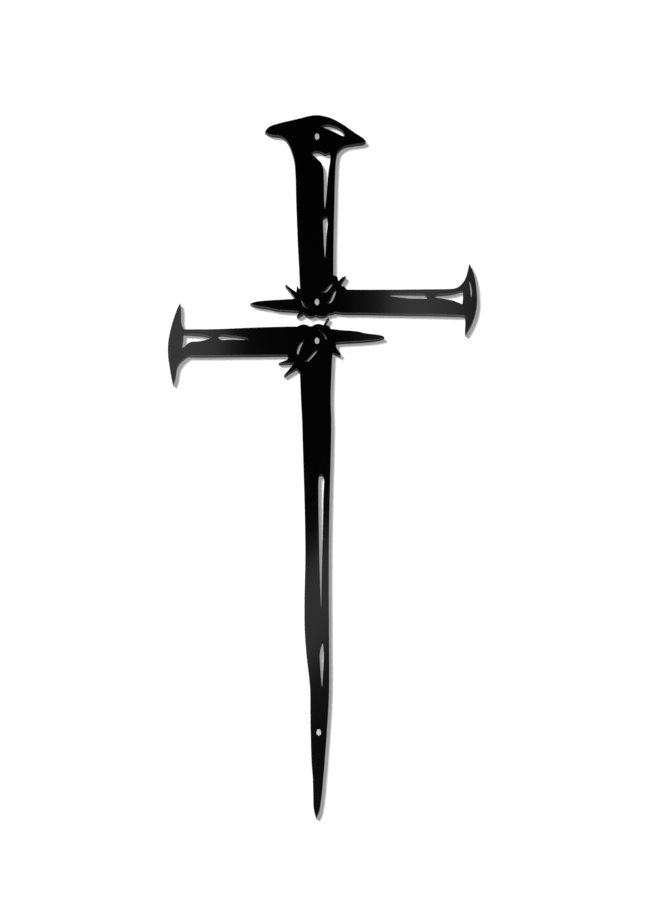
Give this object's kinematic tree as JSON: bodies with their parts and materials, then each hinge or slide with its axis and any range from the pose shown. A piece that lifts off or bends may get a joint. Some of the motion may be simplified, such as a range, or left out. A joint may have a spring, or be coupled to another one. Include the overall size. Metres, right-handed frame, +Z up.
{
  "type": "metal wall cross",
  "caption": "Flat plate-steel wall cross with arms cut as nails bound by thorns, in satin black, hung on screws.",
  "frame": {"origin": "back face of the upper plate, on the line of the screw holes, midway between that plate's two holes", "axes": "+Y into the wall, -Y out of the decorated front, +Z up along the long nail, +X to the right seen from the front"},
  "size_m": [0.2571, 0.0063, 0.61],
  "materials": {
    "black_powder_coat": "satin black powder coat over steel plate"
  },
  "bodies": {
    "root": {"upper_plate": "black_powder_coat", "lower_plate": "black_powder_coat"}
  },
  "joints": []
}
